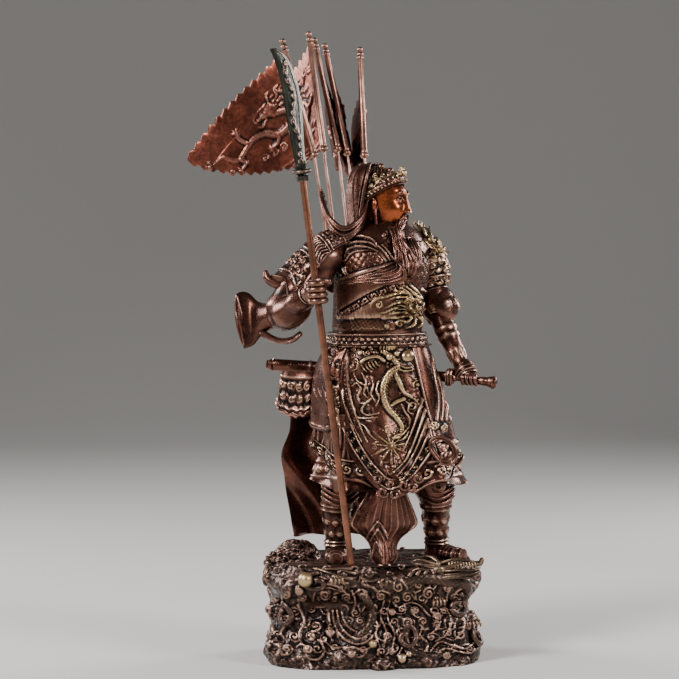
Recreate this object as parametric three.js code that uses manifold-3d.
// A cast bronze statuette of a bearded general in armour and robe, standing on a rock with a dragon.
// He looks to his left, holds a long glaive upright in his right hand and a sword at his left hip.
// Five pennants on poles stand in a holder on his back.
// Millimetres, +Z up. The front faces -Y, his left is +X, and the origin is the middle of the underside.
import * as THREE from "three";
import { ParametricGeometry } from "three/addons/geometries/ParametricGeometry.js";
import { mergeVertices } from "three/addons/utils/BufferGeometryUtils.js";
import Module from "manifold-3d";

// Driving dimensions
const baseWidth = 164;
const baseDepth = 124;
const baseHeight = 74.4;
const figureHeight = 302;
const fitGap = 0.3;

const shaftDiameter = 5;
const shaftLength = 296;
const shaftSocketDepth = 3;
const bladeLength = 86;
const bladeWidth = 19;
const bladeThickness = 3.6;
const bladeSocketDepth = 9;
const guardDiameter = 15;
const guardThickness = 2.4;

const rodDiameter = 2.2;
const tubeDiameter = 5;
const tubeLength = 84;
const finialDiameter = 6;
const pennantLength = 99;
const pennantHeight = 73;
const pennantThickness = 1.5;
const pennantTeeth = 14;
const toothLength = 2.8;

const wasm = await Module();
wasm.setup();

// Colours of the four finishes
const finishes = {
  bronze: { color: 0x5a3d2e, roughness: 0.38, metalness: 0.9 },
  darkBronze: { color: 0x453429, roughness: 0.5, metalness: 0.85 },
  redCopper: { color: 0x8a4a35, roughness: 0.35, metalness: 0.9 },
  greenBronze: { color: 0x3a3c2c, roughness: 0.45, metalness: 0.85 },
};

// Solids from three.js geometries

function solidOf(geometry) {
  const bare = geometry.clone();
  bare.deleteAttribute("normal");
  bare.deleteAttribute("uv");
  const merged = mergeVertices(bare, 1e-4);
  const corners = merged.index.array;
  const kept = [];
  for (let i = 0; i < corners.length; i += 3) {
    const [a, b, c] = [corners[i], corners[i + 1], corners[i + 2]];
    if (a !== b && b !== c && c !== a) kept.push(a, b, c);
  }
  const build = (triangles) =>
    new wasm.Manifold(
      new wasm.Mesh({
        numProp: 3,
        vertProperties: merged.attributes.position.array,
        triVerts: new Uint32Array(triangles),
      }),
    );
  const made = build(kept);
  return made.volume() < 0 ? build(kept.reverse()) : made;
}

function join(...solids) {
  return wasm.Manifold.union(solids.flat());
}

// The outer skin of the largest piece, with small pockets between touching parts filled.
function whole(solid) {
  return solid.decompose().sort((a, b) => b.volume() - a.volume())[0];
}

function meshOf(name, solid, finish) {
  const out = whole(solid).getMesh();
  const geometry = new THREE.BufferGeometry();
  geometry.setAttribute("position", new THREE.BufferAttribute(out.vertProperties, 3));
  geometry.setIndex(new THREE.BufferAttribute(out.triVerts, 1));
  geometry.computeVertexNormals();
  const mesh = new THREE.Mesh(geometry, new THREE.MeshStandardMaterial(finishes[finish]));
  mesh.name = name;
  return mesh;
}

// A closed skin over a row of closed sections. section(along, round) gives a point for two shares,
// and each end is zipped shut between the points at round and 1 - round.
function skin(section, steps, sides) {
  const rows = steps + 2;
  const geometry = new ParametricGeometry(
    (round, down, point) => {
      const row = Math.round(down * rows);
      const share = (Math.round(round * sides) % sides) / sides;
      const along = Math.min(Math.max((row - 1) / steps, 0), 1);
      point.copy(section(along, share));
      if (row === 0 || row === rows) point.add(section(along, (1 - share) % 1)).multiplyScalar(0.5);
    },
    sides,
    rows,
  );
  return solidOf(geometry);
}

// A smooth value of each column of rows, at a share from the first row to the last.
function track(rows, share) {
  const place = share * (rows.length - 1);
  const i = Math.min(Math.floor(place), rows.length - 2);
  const f = place - i;
  const row = (n) => rows[Math.min(Math.max(n, 0), rows.length - 1)];
  return rows[0].map((_, column) => {
    const [a, b, c, d] = [row(i - 1), row(i), row(i + 1), row(i + 2)].map((r) => r[column]);
    const bend = 2 * a - 5 * b + 4 * c - d + f * (3 * (b - c) + d - a);
    return 0.5 * (2 * b + f * (c - a + f * bend));
  });
}

// A limb, roll or lock: rows of x, y, z, half width along the side vector, half thickness across it.
function limb(rows, side, steps, sides, shape = () => 1) {
  const centre = (share) => new THREE.Vector3(...track(rows, share));
  const reach = 0.02;
  return skin(
    (along, round) => {
      const ahead = centre(Math.min(along + reach, 1)).sub(centre(Math.max(along - reach, 0)));
      const heading = ahead.normalize();
      const across = side.clone().addScaledVector(heading, -side.dot(heading)).normalize();
      const up = new THREE.Vector3().crossVectors(heading, across);
      const [, , , halfWidth, halfThickness] = track(rows, along);
      const turn = round * Math.PI * 2;
      const swell = shape(along, round);
      return centre(along)
        .addScaledVector(across, Math.cos(turn) * halfWidth * swell)
        .addScaledVector(up, Math.sin(turn) * halfThickness * swell);
    },
    steps,
    sides,
  );
}

// A bent sheet with rounded edges: surface(across, down) for shares gives its outer face,
// and inward(across, down) the direction that its thickness grows in.
function sheet(surface, inward, thickness, steps, columns) {
  return skin(
    (down, round) => {
      const outer = round <= 0.5;
      const across = outer ? round * 2 : 2 - round * 2;
      const edge = 1 - Math.pow(Math.abs(2 * across - 1), 6);
      const depth = (outer ? -0.5 : 0.5) * thickness * edge;
      return surface(across, down).addScaledVector(inward(across, down), depth + thickness / 2);
    },
    steps,
    columns * 2,
  );
}

function ball(x, y, z, halfX, halfY = halfX, halfZ = halfX, across = 10, up = 7) {
  const geometry = new THREE.SphereGeometry(1, across, up);
  geometry.rotateX(Math.PI / 2);
  geometry.scale(halfX, halfY, halfZ);
  return solidOf(geometry.translate(x, y, z));
}

function rod(from, to, radius, sides = 10, topRadius = radius) {
  const along = to.clone().sub(from);
  const geometry = new THREE.CylinderGeometry(topRadius, radius, along.length(), sides);
  const up = new THREE.Vector3(0, 1, 0);
  geometry.applyQuaternion(new THREE.Quaternion().setFromUnitVectors(up, along.clone().normalize()));
  const middle = from.clone().add(to).multiplyScalar(0.5);
  return solidOf(geometry.translate(middle.x, middle.y, middle.z));
}

const vector = (x, y, z) => new THREE.Vector3(x, y, z);
const radians = THREE.MathUtils.degToRad;

// The figure is laid out on a grid that is 302 units tall, from the soles up.
const grid = figureHeight / 302;
const soles = baseHeight + fitGap;
const onGrid = (solid) => solid.scale(grid).translate([0, 0, soles]);
const place = (x, y, z) => vector(x * grid, y * grid, soles + z * grid);

// The chest is turned to his left, and the head further. s runs to his left, t to his back.
const chestTurn = radians(25);
const headTurn = radians(57);
const chestMiddle = [10, -4];
function chest(s, t, z) {
  const x = chestMiddle[0] + s * Math.cos(chestTurn) - t * Math.sin(chestTurn);
  const y = chestMiddle[1] + s * Math.sin(chestTurn) + t * Math.cos(chestTurn);
  return vector(x, y, z);
}

// Robe: z, middle x and y, half width, half depth, turn in degrees, depth of the folds
const robeRows = [
  [57, 13, -2, 55, 43, 0, 3.6],
  [66, 12, -2, 53, 43, 0, 3.4],
  [80, 10, -2, 48.5, 40, 0, 3],
  [94, 8, -3, 46, 38, 0, 2.4],
  [110, 6.5, -3, 44.5, 36, 0, 1.8],
  [126, 4.5, -4, 43, 34, 0, 1.2],
  [142, 3, -4, 41, 33, 2, 0.6],
  [153, 3, -4, 38, 32, 5, 0.2],
  [161.5, 4, -4, 34.5, 30, 8, 0],
  [162.5, 4, -4, 36.8, 32.5, 9, 0],
  [171.5, 4, -4, 36, 31, 13, 0],
  [172.5, 4, -4, 33.5, 28, 14, 0],
  [193, 5, -5, 34, 27, 20, 0],
  [213, 7, -5, 36, 28, 25, 0],
  [231, 8, -4, 37, 26, 25, 0],
  [245, 9, -4, 29, 20, 25, 0],
  [254, 10, -4, 16, 14, 30, 0],
];
const foldCount = 9;

// A point on the robe: angle in degrees from the front towards his left, z share of robeRows, and a lift.
function onRobe(angle, share, lift = 0) {
  const [z, x, y, halfWidth, halfDepth, turn, fold] = track(robeRows, share);
  const swing = radians(angle - turn);
  const ripple = fold * Math.cos(foldCount * swing + 5 * share);
  const [across, front] = [Math.sin(swing), Math.cos(swing)];
  const spread = Math.pow(Math.abs(across) ** 2.4 + Math.abs(front) ** 2.4, -1 / 2.4);
  const [a, b] = [(halfWidth + ripple + lift) * spread, (halfDepth + ripple + lift) * spread];
  const [c, s] = [Math.cos(radians(turn)), Math.sin(radians(turn))];
  const [dx, dy] = [across * a, -front * b];
  return vector(x + dx * c - dy * s, y + dx * s + dy * c, z);
}

// The share of robeRows at a height, found by halving.
function robeShare(z) {
  let [low, high] = [0, 1];
  for (let i = 0; i < 24; i++) {
    const middle = (low + high) / 2;
    if (track(robeRows, middle)[0] < z) low = middle;
    else high = middle;
  }
  return low;
}

function robe() {
  const hem = (angle) => 4 * Math.cos(radians(3 * angle - 30)) - 7 * Math.exp(-(((angle + 6) / 30) ** 2));
  return skin(
    (along, round) => {
      const angle = round > 0.5 ? round * 360 - 360 : round * 360;
      const point = onRobe(angle, along);
      point.z += hem(angle) * Math.max(0, 1 - along * 6);
      return point;
    },
    robeRows.length - 1,
    24,
  );
}

// Every panel reaches this far into the robe behind it.
const robeBite = 4;

// A panel of the robe's armour: it follows the robe between two angles, from a top to a lower edge.
// low(across) gives the lower edge's height, across running from -1 to 1.
function panel(from, to, top, low, lift, thickness, steps, columns) {
  const at = (across, down, raise) => {
    const side = 2 * across - 1;
    const z = top + (low(side) - top) * down;
    const angle = from + (to - from) * across;
    const point = onRobe(angle, robeShare(Math.max(z, robeRows[0][0])), raise + lift * down);
    point.z = z;
    return point;
  };
  const inward = (across, down) => at(across, down, 0).sub(at(across, down, 3)).normalize();
  const depth = thickness + lift + robeBite;
  return sheet((across, down) => at(across, down, thickness), inward, depth, steps, columns);
}

function panels() {
  const apron = panel(-40, 36, 163, (side) => 52 + 42 * Math.abs(side) ** 1.7, 3, 5, 4, 6);
  const rightTasset = panel(-116, -42, 163, (side) => 100 + 8 * side * side - 6 * side, 3, 4, 2, 4);
  const leftTasset = panel(38, 110, 163, (side) => 88 + 8 * side * side + 5 * side, 3, 4, 2, 4);
  const backTasset = panel(150, 232, 163, (side) => 104 + 10 * side * side, 4, 4, 2, 4);
  const rightSkirt = panel(-106, -4, 112, (side) => 72 - 20 * side, 1.5, 3, 2, 5);
  const leftSkirt = panel(10, 98, 106, (side) => 68 + 14 * side, 1.5, 3, 2, 4);
  return [apron, rightTasset, leftTasset, backTasset, rightSkirt, leftSkirt];
}

// The raised beast on the belly, and the dragon with its pearl on the apron
function raisedFigures() {
  const beast = ball(14, -32, 191, 15, 6, 11, 7, 4);
  const pearl = ball(21.5, -38, 158, 4.5, 3.5, 4.5, 7, 4);
  const coil = [
    [8, 156, 2],
    [-4, 143, 3.4],
    [-7, 129, 3.8],
    [6, 117, 3.6],
    [19, 110, 3.2],
    [15, 98, 2.6],
    [4, 92, 1.2],
  ].map(([angle, z, radius]) => [...onRobe(angle, robeShare(z), 7), radius, radius]);
  return [beast, pearl, limb(coil, vector(0, 0, 1), 7, 4)];
}

// The tasselled sash end that hangs between the feet: z, half width, middle x and y
const sashRows = [
  [62, 12, 7, -44],
  [50, 17, 6, -45],
  [38, 23, 5, -44],
  [29, 25, 4.5, -43],
  [20, 14, 4, -43],
  [13, 10, 4, -45],
  [6, 10, 4, -47],
  [0.4, 5, 4, -48],
];

function sash() {
  const thickness = 4;
  const surface = (across, down) => {
    const [z, half, x, y] = track(sashRows, down);
    const side = 2 * across - 1;
    const ripple = 2.2 * Math.cos(side * 8) * Math.min(1, half / 25);
    return vector(x + side * half, y + 5 * side * side + ripple, z);
  };
  return sheet(surface, () => vector(0, 1, 0), thickness, sashRows.length - 1, 6);
}

// The long tail of the robe behind his right leg, with deep folds: z, left x, right x, y
const tailRows = [
  [130, -44, 20, 24],
  [116, -58, 26, 32],
  [96, -60, 28, 37],
  [78, -66, 26, 40],
  [60, -63, 22, 38],
  [42, -61, 16, 34],
  [26, -59, 10, 33],
  [16, -57, 6, 33],
];

function tail() {
  const surface = (across, down) => {
    const [z, left, right, y] = track(tailRows, down);
    const fold = 6 * Math.cos(across * 17 + 2.5 * down) * (0.3 + 0.7 * down);
    const sweep = 12 * Math.sin(across * Math.PI * 0.8);
    return vector(left + (right - left) * across, y - 12 + fold + sweep, z);
  };
  return sheet(surface, () => vector(0, -1, 0), 5, tailRows.length - 2, 9);
}

// Boots and greaves: x, y, z, half width, half depth
function legs() {
  const x = vector(1, 0, 0);
  const right = limb(
    [
      [-16, -4, 84, 18, 18],
      [-23, -9, 60, 14, 15],
      [-27, -10, 46, 12, 13.5],
      [-27, -8, 30, 10, 11],
      [-27, -7, 15, 8.6, 9.4],
      [-27, -8, -4, 9.5, 11],
    ],
    x,
    5,
    8,
  );
  const left = limb(
    [
      [26, -3, 84, 18, 18],
      [42, -7, 60, 14, 15],
      [48, -7, 46, 12, 13.5],
      [49, -4, 30, 10, 11],
      [50, -2, 15, 8.6, 9.4],
      [50, -2, -4, 9.5, 11],
    ],
    x,
    5,
    8,
  );
  const rightFoot = limb(
    [
      [-26, -2, 3, 8, 9],
      [-28, -14, 3, 8.5, 9],
      [-30, -25, 2.5, 8.5, 7],
      [-31, -34, 3, 4, 4.5],
    ],
    x,
    3,
    7,
  );
  const leftFoot = limb(
    [
      [46, 3, 3, 8, 9],
      [54, -7, 3, 8.5, 9],
      [61, -14, 2.5, 8.5, 7],
      [68, -21, 3, 4, 4.5],
    ],
    vector(1, 1, 0),
    3,
    7,
  );
  return [right, left, rightFoot, leftFoot];
}

// The fist and fingers that close round a bar through grip: how many, and how wide each is
function fist(grip, bar, back, size, clear, count) {
  const palm = ball(...grip.clone().addScaledVector(back, size * 0.55), size, size, size * 1.05, 8, 5);
  const out = new THREE.Vector3().crossVectors(bar, back).normalize();
  const width = (size * 2) / count;
  const fingers = [];
  for (let n = 0; n < count; n++) {
    const start = grip.clone().addScaledVector(bar, (n - (count - 1) / 2) * width);
    const rows = [0, 1, 2, 3, 4].map((i) => {
      const turn = radians(-70 + i * 56);
      const reach = clear + size * 0.26;
      const point = start
        .clone()
        .addScaledVector(out, Math.cos(turn) * reach * 1.05)
        .addScaledVector(back, -Math.sin(turn) * reach);
      return [...point, width * 0.48, size * 0.24];
    });
    fingers.push(limb(rows, bar, 3, 4));
  }
  return [palm, ...fingers];
}

// His right arm reaches forward to the glaive, with the robe's wide sleeve blown back from the elbow.
const glaiveGrip = vector(-48, -57, 203.8);
function rightArm() {
  const sleeve = limb(
    [
      [-20, -16, 236, 13, 13],
      [-36, -20, 229, 14, 14],
      [-50, -17, 212, 15, 15],
      [-62, -13, 195, 16, 16],
      [-66, -12, 184, 14.5, 15.5],
      [-67, -14, 176, 8, 9],
    ],
    vector(0, 1, 0),
    5,
    8,
  );
  const forearm = limb(
    [
      [-65, -10, 187, 15, 15],
      [-63, -24, 188, 13, 14],
      [-59, -38, 195, 9.5, 10],
      [-54, -48, 201, 6.4, 6.4],
      [-51, -54, 203, 5.4, 6],
    ],
    vector(0, 0, 1),
    4,
    7,
  );
  const flare = limb(
    [
      [-66, -8, 187, 12, 12],
      [-76, 0, 184, 10, 9],
      [-84, 6, 182, 13, 6],
      [-90, 9, 181, 20, 4],
      [-97, 9, 181, 22, 3],
      [-100, 7, 181, 16, 2],
    ],
    vector(0, 0.25, 1),
    5,
    7,
  );
  const bar = vector(-0.13, -0.04, 1).normalize();
  return [sleeve, forearm, flare, ...fist(glaiveGrip, bar, vector(-0.75, 0.62, 0), 8.4, 3, 4)];
}

// His left arm hangs at his side, with the hand on the sword's grip.
const swordGrip = vector(72, -20, 136.5);
function leftArm() {
  const upper = limb(
    [
      [34, 8, 238, 12, 12],
      [43, 11, 233, 12.5, 13],
      [47, 12, 216, 12, 12.5],
      [50, 10, 196, 11.5, 12],
      [52, 9, 184, 10.5, 11],
      [53, 7, 176, 7, 7],
    ],
    vector(1, 0, 0),
    5,
    7,
  );
  const cuff = limb(
    [
      [48, 11, 203, 9, 9],
      [53, 8, 195, 12, 11],
      [55, 6, 186, 13.5, 11],
      [55, 5, 178, 8, 8],
    ],
    vector(1, 0, 0.6),
    3,
    7,
  );
  const fore = limb(
    [
      [53, 7, 186, 9, 9.5],
      [59, -2, 168, 8, 8],
      [66, -11, 150, 6, 6],
      [68.5, -14, 144.5, 8, 8],
      [70.5, -17, 140.5, 7.6, 7.6],
      [71, -18, 138.5, 4.5, 4.5],
    ],
    vector(1, 0, 0),
    5,
    6,
  );
  const bar = vector(0.913, -0.407, -0.05).normalize();
  return [upper, cuff, fore, ...fist(swordGrip, bar, vector(-0.05, 0.25, 0.95), 6.4, 1.6, 2)];
}

// The sword, cast on: it runs from the pommel, through his left hand and behind the hips.
function sword() {
  const hilt = [
    [91.5, -28.7, 134, 2.4, 2.4],
    [89, -27.6, 134.3, 5, 4],
    [84, -25.3, 135, 3.6, 3.2],
    [72, -20, 136.3, 2.6, 2.6],
    [62, -15, 137.4, 2.8, 2.8],
    [60, -14, 137.6, 6.5, 3.4],
    [56, -12.5, 138, 6.5, 3.4],
    [54, -11.6, 138.2, 4, 3],
    [30, -1, 140, 4.6, 3.2],
  ];
  const scabbard = [
    [20, 3.5, 140, 5, 4],
    [-30, 26, 143, 4.8, 3.8],
    [-64, 40.2, 145, 4.6, 3.6],
    [-71, 43.3, 145.3, 4.4, 3.4],
    [-75, 44.8, 145.5, 2.2, 1.8],
  ];
  const up = vector(0, 0, 1);
  return [limb(hilt, up, 10, 5), limb(scabbard, up, 4, 5)];
}

// Shoulder guards: a broad curved flap over his right arm, and a dragon's head on his left shoulder.
function rightShoulder() {
  const armRows = [
    [-14, -11, 241],
    [-32, -19, 235],
    [-48, -18, 218],
    [-64, -14, 199],
  ];
  const spread = radians(96);
  const surface = (across, down) => {
    const [x, y, z] = track(armRows, down);
    const turn = (2 * across - 1) * spread;
    const scallop = 2.4 * Math.cos(turn * 4) * down ** 6;
    const radius = 14.5 + 5.5 * down + 1.2 * Math.cos(turn * 4) * down;
    const outward = vector(-0.55, 0, 0.83).multiplyScalar(Math.cos(turn) * radius);
    return vector(x - scallop, y + Math.sin(turn) * radius * 1.12, z - scallop).add(outward);
  };
  const inward = (across) => {
    const turn = (2 * across - 1) * spread;
    return vector(0.55 * Math.cos(turn), -Math.sin(turn), -0.83 * Math.cos(turn)).normalize();
  };
  const flap = sheet(surface, inward, 4, 3, 7);
  const curl = limb(
    [
      [-67, -14, 208, 6, 5],
      [-74, -14, 209, 5, 4],
      [-80, -13, 213, 3.6, 3.2],
      [-81, -12, 219, 1.6, 1.6],
    ],
    vector(0, 1, 0),
    4,
    6,
  );
  return [flap, curl];
}

function leftShoulder() {
  const head = ball(43, 8, 237, 11, 13, 11, 7, 4);
  const side = vector(1, 0.4, 0);
  const snout = limb(
    [
      [41, 5, 240, 9, 8],
      [47, -3, 238, 8, 7],
      [50, -10, 232, 7, 5.6],
      [51, -14, 227, 4, 3.4],
    ],
    side,
    3,
    7,
  );
  const jaw = limb(
    [
      [44, 1, 228, 7, 3.6],
      [48, -8, 223, 5.5, 2.8],
      [50, -12, 219, 3, 2],
    ],
    side,
    2,
    6,
  );
  const flap = limb(
    [
      [40, 10, 233, 13, 14],
      [46, 11, 219, 14.5, 15.5],
      [48, 10, 207, 13.5, 14.5],
      [49, 9, 202, 10, 11],
    ],
    side,
    3,
    8,
  );
  return [head, snout, jaw, flap];
}

// Head, cap and beard, in the head's own frame: s to his left, f forward, z up from the soles.
const headMiddle = [11, -6];
function onHead(s, f, z) {
  const x = headMiddle[0] + s * Math.cos(headTurn) + f * Math.sin(headTurn);
  const y = headMiddle[1] + s * Math.sin(headTurn) - f * Math.cos(headTurn);
  return [x, y, z];
}

// Rows of z, forward, half width, half depth: neck, jaw, face, brow, the cap's band and its dome
const headRows = [
  [246, -4, 10, 11],
  [253, 3, 8.5, 11.5],
  [258, 4.5, 10.5, 13.5],
  [267, 3.2, 13, 15.2],
  [275, 2.4, 14, 16],
  [282.5, 2, 14.2, 16.8],
  [284, 0.5, 16.2, 18.8],
  [290, -1, 16.8, 19],
  [297, -3.5, 13, 15.5],
  [301.6, -5, 5.5, 7.5],
];
const headSide = vector(Math.cos(headTurn), Math.sin(headTurn), 0);
const headForward = vector(Math.sin(headTurn), -Math.cos(headTurn), 0);

function headAndCap() {
  const skull = skin(
    (along, round) => {
      const [z, forward, halfWidth, halfDepth] = track(headRows, along);
      const turn = round * Math.PI * 2;
      return vector(...onHead(0, forward, z))
        .addScaledVector(headForward, Math.cos(turn) * halfDepth)
        .addScaledVector(headSide, Math.sin(turn) * halfWidth);
    },
    headRows.length - 1,
    10,
  );
  const nose = limb(
    [
      [...onHead(0, 16, 279), 2, 2],
      [...onHead(0, 18, 273), 2.3, 2.3],
      [...onHead(0, 20, 268), 2.8, 2.6],
      [...onHead(0, 17, 265), 2, 2],
    ],
    headSide,
    3,
    5,
  );
  const ear = (side) => ball(...onHead(side * 14.2, -1, 272), 2.4, 3, 5, 6, 4);
  const crest = limb(
    [
      [...onHead(0, 15, 286), 4, 3],
      [...onHead(0, 17.5, 292), 5, 3],
      [...onHead(0, 17, 299), 1.6, 1.6],
    ],
    headSide,
    3,
    6,
  );
  return [skull, nose, ear(-1), ear(1), crest];
}

const beardRows = [
  [...onHead(0, 12, 257), 6, 4],
  [18, -24, 248, 8, 5],
  [18, -32, 237, 11, 6],
  [15, -36.5, 226, 13.5, 6.5],
  [5, -38, 218, 13, 6.5],
  [-9, -37.5, 215.5, 10, 6],
  [-20, -34, 216, 7, 5],
  [-27, -30, 217, 3.5, 3],
];
const beardLocks = 3;

function beard() {
  const lock = (along, round) =>
    1 + 0.12 * Math.cos(round * Math.PI * 2 * beardLocks) * Math.min(1, along * 4);
  return [limb(beardRows, vector(0.85, 0.5, 0.5), 7, beardLocks * 3, lock)];
}

// The cloth that falls from the cap behind his head, hangs over the chest and swings up at its end.
function capCloth() {
  const drape = limb(
    [
      [...onHead(0, -8, 295), 12, 6],
      [...onHead(0, -17, 284), 12, 5],
      [-6, 4, 270, 10, 5],
      [-6, -4, 258, 8.5, 5],
      [-12, -11, 248, 7, 5],
      [-21, -13, 244, 6, 5.5],
      [-30, -7, 249, 5, 5],
      [-34, 4, 260, 3.6, 3.6],
      [-37, 13, 273, 2, 2],
    ],
    vector(Math.cos(headTurn), Math.sin(headTurn), 0.4),
    7,
    6,
  );
  const collar = limb(
    [
      [-14, -18, 241, 5, 5],
      [4, -25, 238, 6, 4.5],
      [24, -19, 239, 6, 4.5],
      [34, 0, 242, 6, 5],
    ],
    vector(0, 0, 1),
    4,
    6,
  );
  return [drape, collar];
}

// Pennants, in the chest's frame: the rod's foot, the ferrule where the rod turns into the tube,
// the tube's lean per millimetre of height, and the heading of the cloth in degrees from -X to +Y.
const pennantPlaces = [
  { foot: [-25, 34], ferrule: [-31, 51, 305.5], out: -0.22, back: 0.175, heading: 8 },
  { foot: [-17, 35], ferrule: [-20.5, 54, 310], out: -0.055, back: 0.16, heading: 56 },
  { foot: [-5, 36], ferrule: [-4, 60, 310.5], out: -0.045, back: 0.33, heading: 97 },
  { foot: [4, 36], ferrule: [6, 62, 307.5], out: -0.02, back: 0.36, heading: 97 },
  { foot: [14, 34], ferrule: [15, 52, 305.5], out: 0.17, back: 0.34, heading: 93 },
];
const socketFloor = 206;

function poleLine({ foot: [s, t], ferrule, out, back }) {
  const foot = place(...chest(s, t, socketFloor));
  const turn = place(...chest(...ferrule));
  const [cs, ct, cz] = ferrule;
  const direction = chest(cs + out, ct + back, cz + 1).sub(chest(...ferrule)).normalize();
  return { foot, turn, direction };
}

function holder() {
  const plate = limb(
    [
      [...chest(-27, 29, 212), 4, 10],
      [...chest(-24, 31, 212), 8.5, 11],
      [...chest(-4, 32, 213), 9.5, 13],
      [...chest(16, 31, 211), 8.5, 13],
      [...chest(20, 29, 210), 4, 10],
    ],
    chest(0, 1, 0).sub(chest(0, 0, 0)),
    4,
    7,
  );
  return [plate];
}

// The glaive stands on the rock and passes through his right fist.
const glaiveFoot = vector(-21, -48, baseHeight);
const glaiveHold = place(...glaiveGrip);
const glaiveAxis = glaiveHold.clone().sub(glaiveFoot).normalize();
const alongGlaive = (distance) => glaiveFoot.clone().addScaledVector(glaiveAxis, distance);

function figure() {
  const parts = join(
    robe(),
    panels(),
    raisedFigures(),
    sash(),
    tail(),
    legs(),
    rightArm(),
    leftArm(),
    sword(),
    rightShoulder(),
    leftShoulder(),
    headAndCap(),
    beard(),
    capCloth(),
    holder(),
  );
  const cut = [rod(alongGlaive(-20), alongGlaive(shaftLength), shaftDiameter / 2 + fitGap, 8)];
  for (const row of pennantPlaces) {
    const { foot, turn } = poleLine(row);
    const below = foot.clone().addScaledVector(turn.clone().sub(foot).normalize(), -fitGap);
    cut.push(rod(below, turn, rodDiameter / 2 + fitGap, 5));
  }
  const standing = onGrid(parts.trimByPlane([0, 0, 1], 0));
  return meshOf("figure", standing.subtract(join(cut)), "bronze");
}

// Rock: share of the height, and share of the half width and depth
const rockRows = [
  [0, 1.0],
  [0.06, 1.005],
  [0.2, 0.97],
  [0.35, 0.93],
  [0.5, 0.9],
  [0.64, 0.92],
  [0.78, 0.99],
  [0.9, 0.98],
  [1.0, 0.9],
];

function onRock(angle, share, lift = 0) {
  const [rise, size] = track(rockRows, share);
  const turn = radians(angle);
  const [across, front] = [Math.sin(turn), Math.cos(turn)];
  const spread = Math.pow(Math.abs(across) ** 3.4 + Math.abs(front) ** 3.4, -1 / 3.4);
  const rough = Math.sin(5 * turn + 9 * share) * 1.6 + Math.sin(9 * turn - 14 * share) * 1.2;
  const cave = 9 * Math.exp(-(((share - 0.5) / 0.2) ** 2)) * Math.exp(-(((angle + 28) / 22) ** 2));
  const grow = rough * Math.min(1, 6 * share, 6 * (1 - share)) - cave + lift;
  const x = across * (baseWidth / 2 - 3 + grow) * spread * size;
  const y = -front * (baseDepth / 2 - 3 + grow) * spread * size;
  return vector(x, y, rise * baseHeight);
}

// A roll that winds over the rock: rows of angle, share of the height, lift, half width, half depth
function windOnRock(rows, steps, sides) {
  const points = rows.map(([angle, share, lift, width, depth]) => [...onRock(angle, share, lift), width, depth]);
  return limb(points, vector(0, 0, 1), steps, sides);
}

// The dragon's body comes out of the rock in two places.
function dragonCoils() {
  const neck = windOnRock(
    [
      [8, 0.8, 0, 4, 4],
      [20, 0.86, 2, 7, 6],
      [34, 0.84, 2, 8, 7],
      [46, 0.78, 2, 8, 7],
      [52, 0.62, 0, 7, 6],
      [44, 0.5, 0, 6, 6],
      [34, 0.42, -2, 4, 4],
    ],
    7,
    6,
  );
  const loop = windOnRock(
    [
      [-14, 0.78, -2, 4, 4],
      [-9, 0.7, 1, 5.5, 5],
      [-4, 0.56, 1, 6, 6],
      [-6, 0.42, 1, 6, 6],
      [-14, 0.34, 0, 5, 5],
      [-20, 0.3, -4, 4, 4],
    ],
    5,
    6,
  );
  return [neck, loop];
}

// The dragon's head rests at the rim, with its snout past the front right corner.
const dragonHead = { x: 56, y: -38, z: baseHeight * 0.9 };
function dragonOnRock() {
  const { x, y, z } = dragonHead;
  const side = vector(0.4, 0.9, 0);
  const skull = limb(
    [
      [x - 14, y + 2, z - 4, 7, 6],
      [x - 6, y, z, 9, 8],
      [x + 4, y - 2, z + 1, 8, 7],
      [x + 14, y - 4, z - 1, 6, 5],
      [x + 22, y - 6, z + 1, 5, 3.5],
      [x + 25, y - 7, z + 5, 2, 2],
    ],
    side,
    5,
    7,
  );
  const jaw = limb(
    [
      [x - 4, y, z - 7, 7, 3],
      [x + 8, y - 3, z - 9, 5.5, 2.6],
      [x + 19, y - 6, z - 6, 4, 2],
      [x + 22, y - 7, z - 3, 1.5, 1.2],
    ],
    side,
    4,
    6,
  );
  return [skull, jaw];
}

// Cloud scrolls that curl on the rock: angle, share of the height, radius, direction of the curl
const scrolls = [
  [44, 0.58, 9, 1],
  [62, 0.3, 8, -1],
  [-33, 0.84, 8, -1],
  [-62, 0.5, 9, 1],
  [14, 0.34, 8, 1],
  [120, 0.6, 10, 1],
  [-120, 0.6, 10, -1],
];

function scroll([angle, share, radius, way]) {
  const degreesPerMillimetre = 0.9;
  const turns = 4;
  const rows = [];
  for (let i = 0; i <= turns; i++) {
    const turn = i * 1.4;
    const reach = radius * (1 - (0.85 * i) / turns);
    const swing = angle + way * reach * Math.sin(turn) * degreesPerMillimetre;
    rows.push([swing, share + (reach * Math.cos(turn)) / baseHeight, 1, 2.8 + i * 0.3, 3 + i * 0.3]);
  }
  return windOnRock(rows, turns, 4);
}

// Boulders: angle, share of the height, radius
const boulders = [
  [-64, 0.24, 10],
  [72, 0.4, 10],
  [0, 0.1, 9],
  [-140, 0.3, 11],
];

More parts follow.
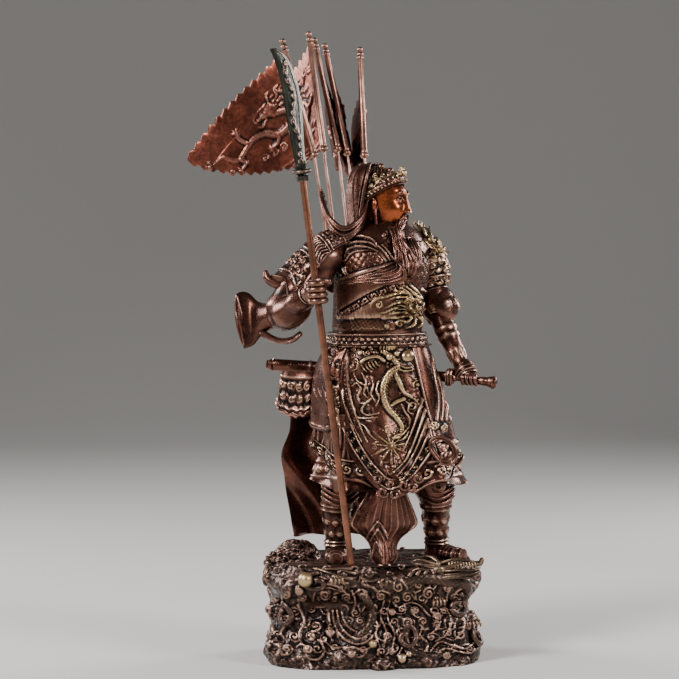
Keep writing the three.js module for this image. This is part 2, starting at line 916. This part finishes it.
function base() {
  const rock = skin((along, round) => onRock(round * 360, along), 7, 26);
  const stones = boulders.map(([angle, share, radius]) => {
    const middle = onRock(angle, share, -2);
    return ball(middle.x, middle.y, middle.z, radius, radius, radius * 0.8, 6, 4);
  });
  const pearl = ball(...onRock(-38, 0.88), 5.4, 5.4, 5.4, 7, 4);
  const mound = ball(-56, 14, baseHeight + 1, 20, 16, 10, 8, 4);
  const crest = ball(-70, -2, baseHeight + 2, 9, 9, 10, 6, 4);
  const parts = join(rock, stones, pearl, mound, crest, scrolls.map(scroll), dragonCoils(), dragonOnRock());
  const socketFoot = alongGlaive(-shaftSocketDepth - fitGap);
  const socket = rod(socketFoot, alongGlaive(20), shaftDiameter / 2 + fitGap, 8);
  return meshOf("base", parts.trimByPlane([0, 0, 1], 0).subtract(socket), "darkBronze");
}

function glaive() {
  const shaft = rod(alongGlaive(-shaftSocketDepth), alongGlaive(shaftLength), shaftDiameter / 2, 8);
  const root = shaftLength - bladeSocketDepth + fitGap;
  const collar = rod(alongGlaive(root), alongGlaive(root + 16), shaftDiameter / 2 + 1.8, 8);
  const guardFoot = root + 6;
  const guard = rod(alongGlaive(guardFoot), alongGlaive(guardFoot + guardThickness), guardDiameter / 2, 12);
  const across = vector(0.72, 0.69, 0);
  across.addScaledVector(glaiveAxis, -across.dot(glaiveAxis)).normalize();
  const through = new THREE.Vector3().crossVectors(glaiveAxis, across);
  // Rows of share of the length, and the spine and the edge as shares of the width
  const bladeRows = [
    [0, -0.3, 0.3],
    [0.12, -0.38, 0.34],
    [0.3, -0.46, 0.42],
    [0.5, -0.5, 0.5],
    [0.7, -0.56, 0.42],
    [0.86, -0.72, 0.14],
    [0.95, -0.86, -0.2],
    [1, -0.98, -0.62],
  ];
  const bladeFoot = root + 12;
  const blade = skin(
    (along, round) => {
      const [share, spine, edge] = track(bladeRows, along);
      const turn = round * Math.PI * 2;
      const middle = ((spine + edge) / 2) * bladeWidth;
      const half = ((edge - spine) / 2) * bladeWidth;
      const belly = Math.sin(turn) * (bladeThickness / 2) * (0.75 - 0.25 * Math.cos(turn));
      return alongGlaive(bladeFoot + share * bladeLength)
        .addScaledVector(across, middle + Math.cos(turn) * half)
        .addScaledVector(through, belly);
    },
    bladeRows.length - 1,
    8,
  );
  const hole = rod(alongGlaive(0), alongGlaive(shaftLength + fitGap), shaftDiameter / 2 + fitGap, 8);
  return [
    meshOf("glaive_shaft", shaft, "redCopper"),
    meshOf("glaive_blade", join(collar, guard, blade).subtract(hole), "greenBronze"),
  ];
}

// The pennant's upper and lower edges: height over the tube's foot at a share of its length
const upperEdge = (share) => pennantHeight * (1.06 - 1.15 * share) + 4 * Math.sin(Math.PI * share);
const lowerEdge = (share) => -pennantHeight * (0.09 * share + 0.18 * Math.sin(Math.PI * share) ** 0.8);

// A pole's tube with its ferrule and two-ball finial, turned in one piece
function tube({ turn, direction }) {
  const [radius, knob] = [tubeDiameter / 2, finialDiameter / 2];
  const profile = [
    [0, -2],
    [radius * 0.9, -2],
    [radius * 1.3, 0],
    [radius, 2],
    [radius * 0.8, tubeLength],
    [knob * 0.9, tubeLength + knob * 0.4],
    [knob * 0.6, tubeLength + knob * 0.9],
    [knob, tubeLength + knob * 1.8],
    [0, tubeLength + knob * 2.6],
  ].map(([x, y]) => new THREE.Vector2(x, y));
  const geometry = new THREE.LatheGeometry(profile, 7);
  geometry.applyQuaternion(new THREE.Quaternion().setFromUnitVectors(vector(0, 1, 0), direction));
  return solidOf(geometry.translate(turn.x, turn.y, turn.z));
}

function pennant(row, number) {
  const line = poleLine(row);
  const heading = radians(row.heading);
  const stream = vector(-Math.cos(heading), Math.sin(heading), 0);
  const facing = new THREE.Vector3().crossVectors(stream, line.direction).normalize();
  const corner = line.turn.clone().addScaledVector(line.direction, 3);
  // A point of the cloth: share of its length, height over the corner, lift off its middle plane
  const bend = (share, height, lift) => {
    const wave = 3.2 * Math.sin(share * 7) * Math.min(1, share * 3);
    return corner
      .clone()
      .addScaledVector(stream, share * pennantLength)
      .addScaledVector(line.direction, height)
      .addScaledVector(facing, lift + wave);
  };
  const steps = pennantTeeth * 2;
  const cloth = skin(
    (along, round) => {
      const share = along * 0.985;
      const tooth = Math.round(along * steps) % 2 ? toothLength : 0;
      const height = round < 0.4 ? upperEdge(share) + tooth : lowerEdge(share) - tooth;
      const side = round < 0.1 || round > 0.6 ? 1 : -1;
      return bend(share, height, (side * pennantThickness) / 2);
    },
    steps,
    4,
  );
  const thin = rod(line.foot, line.turn, rodDiameter / 2, 5);
  return meshOf(`pennant_${number}`, join(thin, tube(line), cloth), "redCopper");
}

const statue = new THREE.Group();
statue.add(base());
statue.add(figure());
statue.add(...glaive());
pennantPlaces.forEach((row, i) => statue.add(pennant(row, i + 1)));

export default statue;
